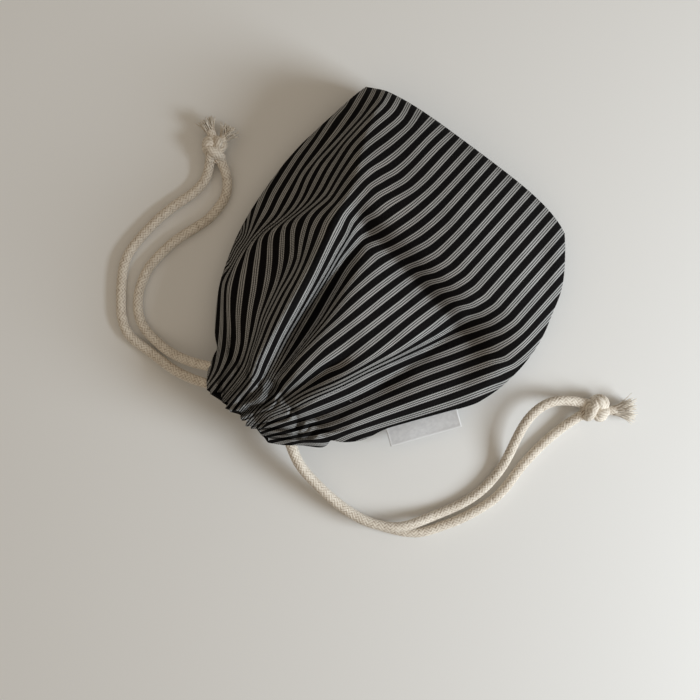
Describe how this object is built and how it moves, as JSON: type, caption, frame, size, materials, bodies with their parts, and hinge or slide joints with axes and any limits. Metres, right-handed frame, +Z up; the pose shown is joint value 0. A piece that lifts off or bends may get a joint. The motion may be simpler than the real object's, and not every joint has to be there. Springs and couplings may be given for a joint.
{
  "type": "drawstring pouch",
  "caption": "Striped cotton drawstring pouch lying on its back, mouth gathered shut by knotted cords, small woven label in the side seam.",
  "frame": {"origin": "on the surface the pouch lies on, under the middle of the box of its cloth and label", "axes": "+Z up, +Y from the drawn mouth to the folded bottom edge, +X across the pouch towards the seam with the label"},
  "size_m": [0.3123, 0.2222, 0.0598],
  "materials": {
    "striped_cotton": "matt woven cotton, black with grey-white triple-line stripes along its length",
    "ecru_cord": "undyed braided cotton cord, matt, with frayed cut ends",
    "grey_satin": "pale grey woven satin label, bare"
  },
  "bodies": {
    "root": {"pouch_cloth": "striped_cotton", "side_label": "grey_satin", "left_cord_outer": "ecru_cord", "left_cord_inner": "ecru_cord", "right_cord_upper": "ecru_cord", "right_cord_lower": "ecru_cord", "left_knot": "ecru_cord", "right_knot": "ecru_cord", "left_fray_upper": "ecru_cord", "left_fray_lower": "ecru_cord", "right_fray": "ecru_cord"}
  },
  "joints": []
}
